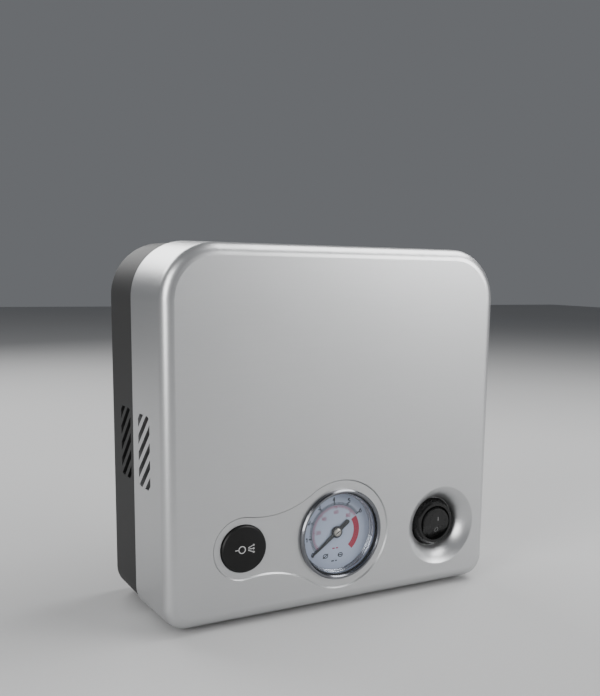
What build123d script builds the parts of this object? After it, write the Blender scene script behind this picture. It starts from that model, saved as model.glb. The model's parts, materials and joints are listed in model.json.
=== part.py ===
"""A 12 V portable tyre inflator: a silver front shell and a black rear shell round a piston compressor.

Frame: millimetres, +X to the right seen from the front, +Y to the back, +Z up, and the origin on the
ground under the middle of the whole object.
"""

import os
from math import acos, atan, cos, degrees, pi, radians, sin, tan

from build123d import *

# ---------------------------------------------------------------- driving sizes
# Case
width = 168.0
shell_height = 162.0
depth = 70.0
front_depth = 36.0  # front face to parting line
wall = 2.5
top_radius = 24.5
bottom_radius = 11.0
front_draft = 1.1  # how much smaller the front face is, each side
front_edge = 5.2
rear_edge = 4.0
rear_inset = 0.6  # the rear shell's step in at the parting line
lip_depth = 3.0
lip_thickness = 1.3
lip_gap = 0.2
foot_proud = 1.5
foot_radius = 5.0
foot_pocket = 1.2
foot_x = 58.0
foot_spread = 21.0  # feet stand this far before and behind the parting line

# Side vents: slanted slots in a patch on each side of each shell
vent_slot = 2.8
vent_pitch = 7.3
vent_slant = 45.0
vent_height = 31.4
vent_patch = 13.5
vent_middle = 74.0  # above the shell's bottom
vent_front_centre = 23.0  # from the front face
vent_rear_centre = 48.3

# Control panel: a shallow recess round the button and the gauge
panel_depth = 0.6
panel_wall_angle = 45.0
panel_waist_radius = 40.0
control_height = 33.1  # gauge and button above the shell's bottom
gauge_x = -0.6
button_x = -48.4
panel_button_rim = 14.0
panel_gauge_border = 4.45  # from the gauge's bezel to the panel's rim

# Gauge
gauge_proud = 1.5
gauge_bezel_overlap = 1.35  # bezel beyond the gauge's case
gauge_case_radius = 19.4
gauge_case_depth = 22.0
gauge_case_wall = 0.8
gauge_fit = 0.3
lens_thickness = 1.2
lens_lip = 1.0  # bezel turned over the lens
dial_back = 4.4  # dial's face behind the front face
dial_thickness = 0.5
arbor_radius = 0.6
pivot_gap = 0.05
pointer_clearance = 3.6  # from the pointer's tip to the outside of the case
pointer_tail = 7.9
pointer_tail_half = 1.05
pointer_zero = 128.0  # degrees to the left of straight up
movement_module = 0.3
arbor_teeth = 10
sector_teeth = 48
sector_cut_teeth = 11  # enough for the pointer's 260 degrees

# Deflate button and its valve
button_radius = 10.25
button_fit = 0.35
button_proud = 0.9
button_face = 1.8
button_skirt = 1.4
button_collar = 8.0
button_collar_wall = 1.8
stem_radius = 2.0
stem_gap = 0.3
valve_spring_length = 11.0  # leaves 4 mm to press beyond the button's 2.5 mm travel
seal_radius = 3.4

# Switch in its dish
dish_x = 55.5
dish_height = 29.9  # above the shell's bottom
dish_radius = 19.0
dish_depth = 8.4
dish_rim_fillet = 0.9
switch_bezel_radius = 11.9
switch_rim_radius = 10.3  # the bezel narrows towards its face
switch_bezel = 3.9
switch_body_radius = 10.0
switch_body_length = 17.0
switch_fit = 0.1
rocker_radius = 8.2
rocker_gap = 0.25
rocker_pivot = 3.0  # pivot behind the bezel's face
rocker_ridge = 3.9  # ridge of the rocker before its pivot
rocker_tilt = 12.0

# Storage bay and its door
bay_width = 126.0
bay_low = 15.8
bay_high = 58.0
bay_depth = 26.0
tray_wall = 2.0
door_thickness = 2.5
door_gap = 0.35
door_overlap = 3.0  # door beyond the bay, left, right and top
barrel_radius = 2.75
barrel_half = 50.0
hinge_stub_radius = 1.2
hinge_stub = 5.0
hinge_gap = 0.05

# Case fasteners
boss_radius = 3.75
boss_low_x, boss_low_z = 73.5, 12.0
boss_high_x, boss_high_z = 70.0, 149.5
screw_radius = 1.45
screw_hole_radius = 1.7
screw_head_radius = 2.9
screw_head = 2.2
screw_length = 16.0
screw_seat = 8.0  # post left under a case screw's head

# Drive: motor and crank axes lie along X
compressor_y = -1.0
motor_z = 83.0
gear_module = 0.8
pinion_teeth = 12
gear_teeth = 54
pressure_angle = 25.0
backlash = 0.12
gear_width = 6.0
motor_radius = 18.0
motor_length = 50.0
motor_wall = 1.6
motor_shaft_radius = 1.6
plate_left, plate_right = -8.0, -4.0
end_cap_length = 6.0
fan_radius = 16.0
fan_width = 6.0
fan_blades = 7

# Compressor
crank_throw = 6.0
crank_shaft_radius = 3.0
crank_pin_radius = 2.5
cylinder_x = 18.0
rod_length = 26.0
rod_thickness = 6.0
piston_radius = 12.0
piston_fit = 0.12
piston_length = 13.0
crown_height = 7.0  # crown above the wrist pin
crown_thickness = 2.5
cylinder_wall = 1.8
deck_height = 24.0  # underside of the deck above the crank axis
deck_thickness = 3.0
top_gap = 0.5
head_half = 17.0
valve_plate = 2.0
head_height = 6.5
outlet_hole = 2.0
outlet_disc_radius = 4.0

# Air path
manifold_half = 5.0
manifold_left, manifold_right = -42.0, 24.0
tube_bore = 2.0
tube_radius = 3.2
outlet_x = 12.0
nipple_radius = 4.0
nipple_bore = 1.7
nipple_length = 12.0
port_depth = 2.6  # how far fittings screw into the manifold
cable_radius = 2.6
grommet_x, grommet_z = -44.0, 23.0
grommet_radius = 5.0
wire_radius = 0.9

# ---------------------------------------------------------------- derived places
front_y = -(depth + gauge_proud) / 2 + gauge_proud
rear_y = front_y + depth
parting_y = front_y + front_depth
shell_bottom = foot_proud
shell_top = shell_bottom + shell_height
draft_angle = degrees(atan(front_draft / front_depth))
control_z = shell_bottom + control_height
dish_z = shell_bottom + dish_height
crank_z = motor_z + gear_module * (pinion_teeth + gear_teeth) / 2
deck_z = crank_z + deck_height
wrist_z = crank_z + crank_throw + rod_length
cylinder_top = wrist_z + crown_height + top_gap
head_z = cylinder_top + valve_plate
gauge_bezel_radius = gauge_case_radius + gauge_bezel_overlap
panel_gauge_rim = gauge_bezel_radius + panel_gauge_border
manifold_front = compressor_y - manifold_half
manifold_back = compressor_y + manifold_half
bay_front = rear_y - door_thickness - bay_depth
hinge_y = rear_y - barrel_radius
hinge_z = bay_low - tray_wall - 0.5 - barrel_radius
door_half = bay_width / 2 + door_overlap
tray_half = bay_width / 2 + tray_wall
door_top = bay_high + door_overlap
boss_places = ((boss_low_x, boss_low_z), (boss_high_x, boss_high_z))
case_bosses = [(side * x, z) for x, z in boss_places for side in (-1, 1)]
mount_ears = [(-2.0, 68.0), (-10.0, 130.0), (39.5, deck_z + deck_thickness / 2)]
ear_front, ear_back = compressor_y + 6.0, compressor_y + 14.0
ear_radius = 4.8
cradle_x = (-52.0, -49.0)
cradle_gap = 0.3

CUT = Mode.SUBTRACT


# ---------------------------------------------------------------- helpers
def span(middle, half):
    """The pair of places half before and half after a middle."""
    return (middle - half, middle + half)


def at_y(y, x=0.0, z=0.0):
    """Plane facing the front at depth y: its local axes run along X and Z."""
    return Plane(origin=(x, y, z), x_dir=(1, 0, 0), z_dir=(0, -1, 0))


def at_x(x, y=0.0, z=0.0):
    """Plane facing right at x: its local axes run along Y and Z."""
    return Plane(origin=(x, y, z), x_dir=(0, 1, 0), z_dir=(1, 0, 0))


def side_plane(x, z):
    """Plane through a Y-axis line at (x, z), for turned shapes: local x is the radius, local y runs back."""
    return Plane(origin=(x, 0, z), x_dir=(1, 0, 0), z_dir=(0, 0, 1))


def case_outline(inset):
    """The case's outline in the sketch in hand, drawn in by inset: large top corners, small bottom ones."""
    half, low, high = width / 2 - inset, shell_bottom + inset, shell_top - inset
    top, bottom = top_radius - inset, bottom_radius - inset
    corners = [(-half, low), (half, low), (half, high), (-half, high)]
    with BuildLine() as outline:
        FilletPolyline(*corners, radius=[bottom, bottom, top, top], close=True)
    make_face(outline.line)


def round_bar(x, z, y_front, y_back, radius, mode=Mode.ADD):
    """A cylinder along Y at (x, z), in the part in hand."""
    with Locations(at_y(y_back, x, z)):
        Cylinder(radius, y_back - y_front, align=(Align.CENTER, Align.CENTER, Align.MIN), mode=mode)


def cross_bar(x_left, x_right, y, z, radius, mode=Mode.ADD):
    """A cylinder along X at (y, z), in the part in hand."""
    with Locations(at_x(x_left, y, z)):
        Cylinder(radius, x_right - x_left, align=(Align.CENTER, Align.CENTER, Align.MIN), mode=mode)


def upright(x, y, z_low, z_high, radius, mode=Mode.ADD):
    """A cylinder along Z at (x, y), in the part in hand."""
    with Locations((x, y, z_low)):
        Cylinder(radius, z_high - z_low, align=(Align.CENTER, Align.CENTER, Align.MIN), mode=mode)


def block(x, y, z, mode=Mode.ADD):
    """A box between the pairs x, y and z, in the part in hand."""
    with Locations(((x[0] + x[1]) / 2, (y[0] + y[1]) / 2, (z[0] + z[1]) / 2)):
        Box(x[1] - x[0], y[1] - y[0], z[1] - z[0], mode=mode)


def turned(points, x, z):
    """A shape turned about the Y-axis line at (x, z) from (radius, y) corners, in the part in hand."""
    with BuildSketch(side_plane(x, z)) as profile:
        with BuildLine():
            Polyline(*points, close=True)
        make_face()
    revolve(profile.sketch, axis=Axis((x, 0, z), (0, 1, 0)))


def gear_face(teeth, module, cut_teeth=None, first_angle=0.0):
    """A spur gear's face: a root disc and involute teeth, the first centred on first_angle."""
    pitch = module * teeth / 2
    base = pitch * cos(radians(pressure_angle))
    root, tip = pitch - 1.2 * module, pitch + 0.95 * module
    involute = tan(radians(pressure_angle)) - radians(pressure_angle)
    half = pi / 2 / teeth - backlash * module / gear_module / 2 / pitch + involute

    def half_angle(radius):
        pressure = acos(min(1.0, base / radius))
        return half - (tan(pressure) - pressure)

    start = max(base, root)
    flank = [start + (tip - start) * share for share in (0, 0.3, 0.65, 1)]
    foot = root - 0.4 * module

    def on_flank(radius, side):
        angle = side * half_angle(max(radius, base))
        return (radius * cos(angle), radius * sin(angle))

    with BuildSketch(mode=Mode.PRIVATE) as tooth:
        with BuildLine():
            left = Spline(*[on_flank(r, 1) for r in flank])
            ThreePointArc(left @ 1, (tip, 0), on_flank(tip, -1))
            right = Spline(*[on_flank(r, -1) for r in reversed(flank)])
            Polyline(right @ 1, on_flank(foot, -1), on_flank(foot, 1), left @ 0)
        make_face()
    count = cut_teeth or teeth
    with BuildSketch(mode=Mode.PRIVATE) as face:
        Circle(root)
        with Locations(*[Location((0, 0, 0), (0, 0, first_angle + 360 / teeth * n)) for n in range(count)]):
            add(tooth.sketch)
    return face.sketch


def screws(planes, radius, length, head_radius, head_height):
    """Cross-head screws, one in each plane, whose normal points from the head to the tip."""
    slot = (head_radius * 1.1, head_radius * 0.28, head_height * 0.9)
    with BuildPart() as group:
        with Locations(*planes):
            Cylinder(radius, length, align=(Align.CENTER, Align.CENTER, Align.MIN))
            Cylinder(head_radius, head_height, align=(Align.CENTER, Align.CENTER, Align.MAX))
        for plane in planes:
            with Locations(plane.offset(-head_height)):
                Box(*slot, mode=CUT)
                Box(slot[1], slot[0], slot[2], mode=CUT)
    return group


def coil_spring(plane, radius, wire, length, turns):
    """A round-wire compression spring standing on a plane."""
    with BuildPart() as spring:
        start = plane.origin + plane.z_dir * wire / 2
        with BuildLine():
            path = Helix((length - wire) / turns, length - wire, radius, center=start, direction=plane.z_dir)
        with BuildSketch(Plane(origin=path @ 0, z_dir=path % 0)):
            Circle(wire / 2)
        sweep(is_frenet=True)
    return spring


def tube_along(points, bend, radius, bore=0.0):
    """A tube or wire along straight runs joined by arcs of radius bend."""
    with BuildPart() as tube:
        with BuildLine():
            path = FilletPolyline(*points, radius=bend)
        with BuildSketch(Plane(origin=path @ 0, z_dir=path % 0)):
            Circle(radius)
            if bore:
                Circle(bore, mode=CUT)
        sweep()
    return tube


def save(name, piece):
    """Labels a finished piece and writes it as the node of that name."""
    piece.part.label = name
    export_step(piece.part, f"parts/{name}.step")


os.makedirs("parts", exist_ok=True)


# ---------------------------------------------------------------- case
def vent_patch_sketch(centre_y):
    """Slanted slots clipped to an upright patch, seen from the side, centred on the vent's middle."""
    middle = shell_bottom + vent_middle
    rows = int(vent_height / vent_pitch / 2) + 2
    with BuildSketch(at_x(0, centre_y, middle), mode=Mode.PRIVATE) as patch:
        heights = [vent_pitch * (n + 0.5) for n in range(-rows, rows)]
        with Locations(*[Location((0, height), -vent_slant) for height in heights]):
            Rectangle(3 * vent_patch, vent_slot)
        RectangleRounded(vent_patch, vent_height, vent_slot, mode=Mode.INTERSECT)
    patches = [face for face in patch.sketch.faces() if face.area > vent_slot**2 / 2]
    return patches


def cut_vents(centre_y):
    """Cuts the patch of slots through both side walls of the part in hand."""
    extrude(vent_patch_sketch(centre_y), amount=width, both=True, mode=CUT)


def foot_planes():
    """Planes under the case where the feet sit, facing down."""
    seat = shell_bottom + foot_pocket
    places = [(sx * foot_x, parting_y + sy * foot_spread, seat) for sx in (-1, 1) for sy in (-1, 1)]
    return [Plane(origin=place, z_dir=(0, 0, -1)) for place in places]


with BuildPart() as front_shell:
    with BuildSketch(at_y(parting_y)):
        case_outline(0)
    extrude(amount=front_depth, taper=draft_angle)
    fillet(front_shell.faces().sort_by(Axis.Y)[0].edges(), front_edge)
    with BuildSketch(at_y(parting_y)):
        case_outline(wall)
    extrude(amount=front_depth - wall, taper=draft_angle, mode=CUT)
    cut_vents(front_y + vent_front_centre)
    # screw bosses, and stiffening ribs behind the face
    for x, z in case_bosses:
        round_bar(x, z, front_y + wall / 2, parting_y, boss_radius)
    for x in (-60, -36, 48, 66):
        block((x - 0.75, x + 0.75), (front_y + wall / 2, front_y + wall + 4), (72, 150))
    block((-66, 70), (front_y + wall / 2, front_y + wall + 3), (110, 111.5))
    for x, z in case_bosses:
        round_bar(x, z, parting_y - screw_length + screw_seat, parting_y, screw_radius, CUT)
    # collars that guide the button and the gauge
    round_bar(button_x, control_z, front_y + wall / 2, front_y + wall + button_collar,
              button_radius + button_fit + button_collar_wall)
    round_bar(gauge_x, control_z, front_y + wall / 2, front_y + wall + 2,
              gauge_case_radius + gauge_fit + button_collar_wall)
    # control panel recess: two lobes joined by a waist of concave arcs
    with BuildSketch(at_y(front_y)):
        with Locations((button_x, control_z)):
            Circle(panel_button_rim)
        with Locations((gauge_x, control_z)):
            Circle(panel_gauge_rim)
        between = gauge_x - button_x
        to_button = panel_button_rim + panel_waist_radius
        to_gauge = panel_gauge_rim + panel_waist_radius
        waist_x = (between**2 + to_button**2 - to_gauge**2) / (2 * between)
        waist_z = (to_button**2 - waist_x**2) ** 0.5
        waist = [(button_x + waist_x, control_z + side * waist_z) for side in (1, -1)]
        with BuildLine():
            Polyline((button_x, control_z), waist[0], (gauge_x, control_z), waist[1], close=True)
        make_face()
        with Locations(*waist):
            Circle(panel_waist_radius, mode=CUT)
    extrude(amount=-panel_depth, taper=panel_wall_angle, mode=CUT)
    round_bar(button_x, control_z, front_y - 1, front_y + wall + button_collar,
              button_radius + button_fit, CUT)
    round_bar(gauge_x, control_z, front_y - 1, front_y + wall + 2,
              gauge_case_radius + gauge_fit, CUT)
    # dish: a cup behind the face, hollowed by a bowl with a flat seat for the switch
    turned(
        [(0, front_y + wall / 2), (dish_radius + 2, front_y + wall / 2), (dish_radius + 2, front_y + wall),
         (switch_bezel_radius + 4, front_y + dish_depth + wall), (0, front_y + dish_depth + wall)],
        dish_x, dish_z,
    )
    with BuildSketch(side_plane(dish_x, dish_z)):
        with BuildLine():
            seat = (switch_bezel_radius + 0.1, front_y + dish_depth)
            rim = (dish_radius, front_y)
            RadiusArc(rim, seat, (dish_radius - switch_bezel_radius) * 1.9)
            Polyline(seat, (0, front_y + dish_depth), (0, front_y - 1), (dish_radius, front_y - 1), rim)
        make_face()
    revolve(axis=Axis((dish_x, 0, dish_z), (0, 1, 0)), mode=CUT)
    round_bar(dish_x, dish_z, front_y, front_y + dish_depth + wall + 1,
              switch_body_radius + switch_fit, CUT)
    rim_edge = (
        front_shell.edges()
        .filter_by(GeomType.CIRCLE)
        .filter_by(lambda e: abs(e.radius - dish_radius) < 0.01 and abs(e.center().Y - front_y) < 0.01)
    )
    fillet(rim_edge, dish_rim_fillet)
    with Locations(*foot_planes()):
        Cylinder(foot_radius, wall, align=(Align.CENTER, Align.CENTER, Align.MIN), mode=CUT)
save("front_shell", front_shell)

with BuildPart() as rear_shell:
    with BuildSketch(at_y(parting_y)):
        case_outline(rear_inset)
    extrude(amount=-(depth - front_depth))
    fillet(rear_shell.faces().sort_by(Axis.Y)[-1].edges(), rear_edge)
    with BuildSketch(at_y(parting_y)):
        case_outline(rear_inset + wall)
    extrude(amount=-(depth - front_depth - wall), mode=CUT)
    cut_vents(front_y + vent_rear_centre)
    # lip that locates inside the front shell
    with BuildSketch(at_y(parting_y + lip_depth)):
        case_outline(wall + lip_gap)
    extrude(amount=2 * lip_depth)
    with BuildSketch(at_y(parting_y + lip_depth)):
        case_outline(wall + lip_gap + lip_thickness)
    extrude(amount=2 * lip_depth, mode=CUT)
    # posts for the case screws and for the compressor's ears
    for x, z in case_bosses:
        round_bar(x, z, parting_y, rear_y - wall / 2, boss_radius + 1)
        round_bar(x, z, parting_y, rear_y, screw_hole_radius, CUT)
        round_bar(x, z, parting_y + screw_seat, rear_y, screw_head_radius + 0.3, CUT)
    for x, z in mount_ears:
        round_bar(x, z, ear_back, rear_y - wall / 2, boss_radius)
        round_bar(x, z, ear_back, ear_back + 12, screw_radius, CUT)
    # cradle rib behind the motor
    block(cradle_x, (compressor_y + 8, rear_y - wall / 2), (motor_z - 15, motor_z + 15))
    cradle = motor_radius + cradle_gap
    cross_bar(cradle_x[0] - 1, cradle_x[1] + 1, compressor_y, motor_z, cradle, CUT)
    # hinge trough, door opening, and hinge lugs
    trough = barrel_radius + door_gap
    barrel_top = hinge_z + barrel_radius
    block(span(0, door_half - 1), (hinge_y - 5, rear_y - wall / 2), (hinge_z - 5, barrel_top))
    cross_bar(-door_half, door_half, hinge_y, hinge_z, trough, CUT)
    block(span(0, door_half + door_gap), (hinge_y, rear_y + 1), (hinge_z - trough, door_top + door_gap), CUT)
    block(span(0, tray_half), (rear_y - 8, rear_y + 1), (hinge_z, bay_high + tray_wall), CUT)
    for side in (-1, 1):
        lug = sorted((side * (barrel_half + 0.3), side * (door_half + door_gap)))
        cross_bar(*lug, hinge_y, hinge_z, barrel_radius)
        block(lug, (hinge_y - 4, hinge_y), (hinge_z - barrel_radius - 1, hinge_z + barrel_radius))
        stub = sorted((side * barrel_half, side * (barrel_half + hinge_stub + 0.3)))
        cross_bar(*stub, hinge_y, hinge_z, hinge_stub_radius + hinge_gap, CUT)
    with Locations(*foot_planes()):
        Cylinder(foot_radius, wall, align=(Align.CENTER, Align.CENTER, Align.MIN), mode=CUT)
save("rear_shell", rear_shell)

with BuildPart() as feet:
    with Locations(*foot_planes()):
        Cylinder(foot_radius - 0.05, foot_proud + foot_pocket, align=(Align.CENTER, Align.CENTER, Align.MIN))
    fillet(feet.faces().group_by(Axis.Z)[0].edges(), 0.8)
save("feet", feet)

# ---------------------------------------------------------------- storage bay
bay_rim = rear_y - door_thickness - 0.2
with BuildPart() as storage_tray:
    block(span(0, tray_half), (bay_front - tray_wall, bay_rim), (bay_low - tray_wall, bay_high + tray_wall))
    # flange behind the shell's wall, on three sides
    flange_z = (hinge_z + barrel_radius + 0.5, bay_high + tray_wall + 3.5)
    block(span(0, tray_half + 3), (rear_y - wall - 2, rear_y - wall), flange_z)
    block(span(0, bay_width / 2), (bay_front, rear_y), (bay_low, bay_high), CUT)
    block(span(0, door_half + 1), (bay_rim, rear_y), (hinge_z, door_top + 1), CUT)
    round_bar(outlet_x, control_z, bay_front - tray_wall, bay_front, nipple_radius + 0.1, CUT)
    round_bar(grommet_x, grommet_z, bay_front - tray_wall, bay_front, grommet_radius, CUT)
save("storage_tray", storage_tray)

with BuildPart() as storage_door:
    door_y = (rear_y - door_thickness, rear_y)
    block(span(0, door_half), door_y, (hinge_z + barrel_radius + door_gap, door_top))
    block(span(0, barrel_half), door_y, (hinge_z, hinge_z + barrel_radius + 1))
    cross_bar(-barrel_half, barrel_half, hinge_y, hinge_z, barrel_radius)
    cross_bar(-barrel_half - hinge_stub, barrel_half + hinge_stub, hinge_y, hinge_z, hinge_stub_radius)
    # catch tongues that slip under the top of the bay, stiffening ribs and a finger notch
    for x in (-36, 36):
        block((x - 5, x + 5), (rear_y - door_thickness - 4, rear_y), (bay_high - 2, bay_high - 0.5))
    for x in (-50, 50):
        block((x - 0.75, x + 0.75), (rear_y - door_thickness - 1.5, rear_y), (bay_low + 3, bay_high - 4))
    round_bar(0, door_top, rear_y - door_thickness, rear_y, 8.0, CUT)
    for n in range(5):
        block((-40, 40), (rear_y - 0.5, rear_y), (20 + 5 * n, 21 + 5 * n), CUT)
save("storage_door", storage_door)

# ---------------------------------------------------------------- gauge
bezel_face = front_y - gauge_proud
lens_face = bezel_face + lens_lip
case_face = lens_face + lens_thickness
case_back = case_face + gauge_case_depth
dial_face = front_y + dial_back
seat_y = front_y + panel_depth
bezel_inner = gauge_case_radius - 0.4
pointer_reach = gauge_case_radius - pointer_clearance
bourdon_mean = gauge_case_radius - 3.8
pointer_y = dial_face - 1.0
with BuildPart() as gauge_bezel:
    turned(
        [(bezel_inner, bezel_face + 0.5), (bezel_inner + 0.5, bezel_face),
         (gauge_bezel_radius - 0.6, bezel_face), (gauge_bezel_radius, bezel_face + 0.6),
         (gauge_bezel_radius, seat_y), (gauge_case_radius + 0.1, seat_y),
         (gauge_case_radius + 0.1, lens_face), (bezel_inner, lens_face)],
        gauge_x, control_z,
    )
save("gauge_bezel", gauge_bezel)

with BuildPart() as gauge_lens:
    round_bar(gauge_x, control_z, lens_face, case_face, gauge_case_radius)
save("gauge_lens", gauge_lens)

movement_y = dial_face + dial_thickness + 1.2
plate_gap = 4.0
movement_back = movement_y + 2 * 1.0 + plate_gap
stem_radius_gauge = 4.0
with BuildPart() as gauge_case:
    round_bar(gauge_x, control_z, case_face, case_back, gauge_case_radius)
    round_bar(gauge_x, control_z, case_face, case_back - gauge_case_wall,
              gauge_case_radius - gauge_case_wall, CUT)
    round_bar(gauge_x, control_z, case_face, case_back, stem_radius_gauge + 0.1, CUT)
    # ledge under the dial
    ledge, ledge_y = (gauge_case_radius - 2, gauge_case_radius - 0.5), dial_face + dial_thickness
    turned(
        [(ledge[0], ledge_y), (ledge[1], ledge_y), (ledge[1], ledge_y + 1), (ledge[0], ledge_y + 1)],
        gauge_x, control_z,
    )
save("gauge_case", gauge_case)

with BuildPart() as gauge_dial:
    dial_radius = gauge_case_radius - gauge_case_wall - 0.1
    round_bar(gauge_x, control_z, dial_face, dial_face + dial_thickness, dial_radius)
    round_bar(gauge_x, control_z, dial_face, dial_face + dial_thickness, arbor_radius + 0.3, CUT)
save("gauge_dial", gauge_dial)

sector_distance = movement_module * (arbor_teeth + sector_teeth) / 2
sector_z = control_z - sector_distance
with BuildPart() as movement_frame:
    for y in (movement_y, movement_y + 1 + plate_gap):
        with BuildSketch(at_y(y + 1, gauge_x, control_z)):
            Circle(bourdon_mean - 2.8)
            Rectangle(19, 25, mode=Mode.INTERSECT)
        extrude(amount=1)
    for x, z in ((-7.5, 7.0), (7.5, 7.0), (-6.5, -10.0)):
        round_bar(gauge_x + x, control_z + z, movement_y, movement_back, 1.2)
    round_bar(gauge_x, control_z, movement_y, movement_back, arbor_radius + pivot_gap, CUT)
    round_bar(gauge_x, sector_z, movement_y, movement_back, arbor_radius + pivot_gap, CUT)
save("movement_frame", movement_frame)

gear_front = movement_y + 1 + (plate_gap - 2) / 2
with BuildPart() as gauge_arbor:
    round_bar(gauge_x, control_z, pointer_y - 0.5, movement_back, arbor_radius)
    with BuildSketch(at_y(gear_front + 2, gauge_x, control_z)):
        add(gear_face(arbor_teeth, movement_module, first_angle=90 + 180 / arbor_teeth).rotate(Axis.Z, 180))
    extrude(amount=2)
save("gauge_arbor", gauge_arbor)

with BuildPart() as sector_gear:
    round_bar(gauge_x, sector_z, movement_y, movement_back, arbor_radius)
    tooth_step = 360 / sector_teeth
    start = 90 - tooth_step * (sector_cut_teeth - 2)
    with BuildSketch(at_y(gear_front + 2, gauge_x, sector_z)):
        add(gear_face(sector_teeth, movement_module, sector_cut_teeth, start))
        with BuildLine() as wedge_line:
            edge = [radians(angle) for angle in (start - 4, start + 30, 94, 98)]
            reach = [(14 * cos(angle), 14 * sin(angle)) for angle in edge]
            Polyline((0, 0), *reach, close=True)
        make_face(wedge_line.line, mode=Mode.INTERSECT)
        Circle(1.8)
        with Locations(Location((0, 0), -60)):
            with Locations((2.2, 0)):
                Rectangle(4.4, 1.6)
    extrude(amount=2)
save("sector_gear", sector_gear)

with BuildPart() as gauge_link:
    with BuildSketch(at_y(gear_front, gauge_x, sector_z)):
        with Locations(Location((5.1, -2.6), 12)):
            SlotCenterToCenter(6.0, 1.4)
    extrude(amount=0.7)
save("gauge_link", gauge_link)

with BuildPart() as bourdon_tube:
    with BuildSketch(at_y(movement_y + 5.5, gauge_x, control_z)):
        Circle(bourdon_mean + 0.8)
        Circle(bourdon_mean - 0.8, mode=CUT)
        with BuildLine() as gap_line:
            Polyline((0, 0), (30 * cos(radians(-86)), 30 * sin(radians(-86))), (30, -30),
                     (30 * cos(radians(-30)), 30 * sin(radians(-30))), close=True)
        make_face(gap_line.line, mode=CUT)
        with Locations((bourdon_mean * cos(radians(-30)), bourdon_mean * sin(radians(-30)))):
            Circle(1.6)
    extrude(amount=4.5)
save("bourdon_tube", bourdon_tube)

with BuildPart() as gauge_stem:
    socket_front = movement_back + 0.6
    round_bar(gauge_x, control_z, socket_front, socket_front + 4, 6)
    foot_z = control_z - bourdon_mean + 1.1
    block(span(gauge_x, 2.5), (socket_front, socket_front + 4), (foot_z, control_z))
    block(span(gauge_x, 2.5), (movement_y + 0.5, socket_front + 4), (foot_z, foot_z + 1.3))
    round_bar(gauge_x, control_z, socket_front, manifold_front + port_depth, stem_radius_gauge)
    round_bar(gauge_x, control_z, socket_front + 1, manifold_front + port_depth, 1.2, CUT)
save("gauge_stem", gauge_stem)

with BuildPart() as gauge_pointer:
    with BuildSketch(at_y(pointer_y + 0.5, gauge_x, control_z)):
        with BuildLine() as needle_line:
            tail_z = pointer_tail_half - pointer_tail
            Polyline((-1.0, 0), (-0.22, pointer_reach), (0.22, pointer_reach), (1.0, 0),
                     (pointer_tail_half, tail_z), (-pointer_tail_half, tail_z), close=True)
        make_face(needle_line.line)
        with Locations((0, tail_z)):
            Circle(pointer_tail_half)
        Circle(2.6)
        Circle(arbor_radius, mode=CUT)
    extrude(amount=0.5)
gauge_pointer.part = gauge_pointer.part.rotate(Axis((gauge_x, 0, control_z), (0, 1, 0)), -pointer_zero)
save("gauge_pointer", gauge_pointer)

# ---------------------------------------------------------------- deflate button and valve
button_face_y = front_y - button_proud
collar_end = front_y + wall + button_collar
flange_y = collar_end + 0.3
with BuildPart() as deflate_button:
    under_face = button_face_y + button_face
    turned(
        [(0, button_face_y + 0.15), (button_radius - 2, button_face_y), (button_radius - 0.5, button_face_y),
         (button_radius, button_face_y + 0.5), (button_radius, flange_y), (button_radius + 1.4, flange_y),
         (button_radius + 1.4, flange_y + 1.4), (button_radius - button_skirt, flange_y + 1.4),
         (button_radius - button_skirt, under_face), (stem_radius + 1.5, under_face),
         (stem_radius + 1.5, under_face + 5), (stem_radius, under_face + 5),
         (stem_radius, under_face), (0, under_face)],
        button_x, control_z,
    )
save("deflate_button", deflate_button)

seat = manifold_front + 2.5
spring_front = manifold_front - valve_spring_length
with BuildPart() as valve_stem:
    round_bar(button_x, control_z, button_face_y + button_face, seat + 2.2, stem_radius)
    round_bar(button_x, control_z, spring_front - 1.5, spring_front, 4.4)
save("valve_stem", valve_stem)

with BuildPart() as valve_seal:
    round_bar(button_x, control_z, seat, seat + 1.4, seal_radius)
    round_bar(button_x, control_z, seat, seat + 1.4, stem_radius, CUT)
save("valve_seal", valve_seal)

spring_seat = Plane(origin=(button_x, spring_front, control_z), z_dir=(0, 1, 0))
valve_spring = coil_spring(spring_seat, 3.3, 0.7, valve_spring_length, 6)
save("valve_spring", valve_spring)

manifold_left = button_x - 7.0
with BuildPart() as manifold:
    block((manifold_left, manifold_right), (manifold_front, manifold_back),
          (control_z - manifold_half, control_z + manifold_half))
    chamfer(manifold.edges().filter_by(Axis.X), 1.0)
    cross_bar(button_x, manifold_right, compressor_y, control_z, tube_bore, CUT)
    cross_bar(manifold_right - 5, manifold_right, compressor_y, control_z, tube_radius, CUT)
    round_bar(button_x, control_z, manifold_front, manifold_back, stem_radius + stem_gap, CUT)
    round_bar(button_x, control_z, seat, manifold_back, seal_radius + 0.8, CUT)
    stem_end = manifold_front + port_depth
    round_bar(gauge_x, control_z, manifold_front, stem_end, stem_radius_gauge, CUT)
    round_bar(gauge_x, control_z, manifold_front, compressor_y, 1.2, CUT)
    round_bar(outlet_x, control_z, manifold_back - port_depth, manifold_back, nipple_radius, CUT)
    round_bar(outlet_x, control_z, compressor_y, manifold_back, nipple_bore, CUT)
save("manifold", manifold)

with BuildPart() as manifold_plug:
    round_bar(button_x, control_z, manifold_back - 2, manifold_back, seal_radius + 0.8)
save("manifold_plug", manifold_plug)

with BuildPart() as outlet_nipple:
    nipple_y = (manifold_back - port_depth, bay_front + nipple_length)
    round_bar(outlet_x, control_z, *nipple_y, nipple_radius)
    tip = outlet_nipple.edges().filter_by(GeomType.CIRCLE).sort_by(Axis.Y)[-1]
    chamfer(tip, 0.8)
    with BuildSketch(at_y(bay_front + 3, outlet_x, control_z)):
        RegularPolygon(6.5, 6)
    extrude(amount=3)
    round_bar(outlet_x, control_z, *nipple_y, nipple_bore, CUT)
save("outlet_nipple", outlet_nipple)

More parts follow.
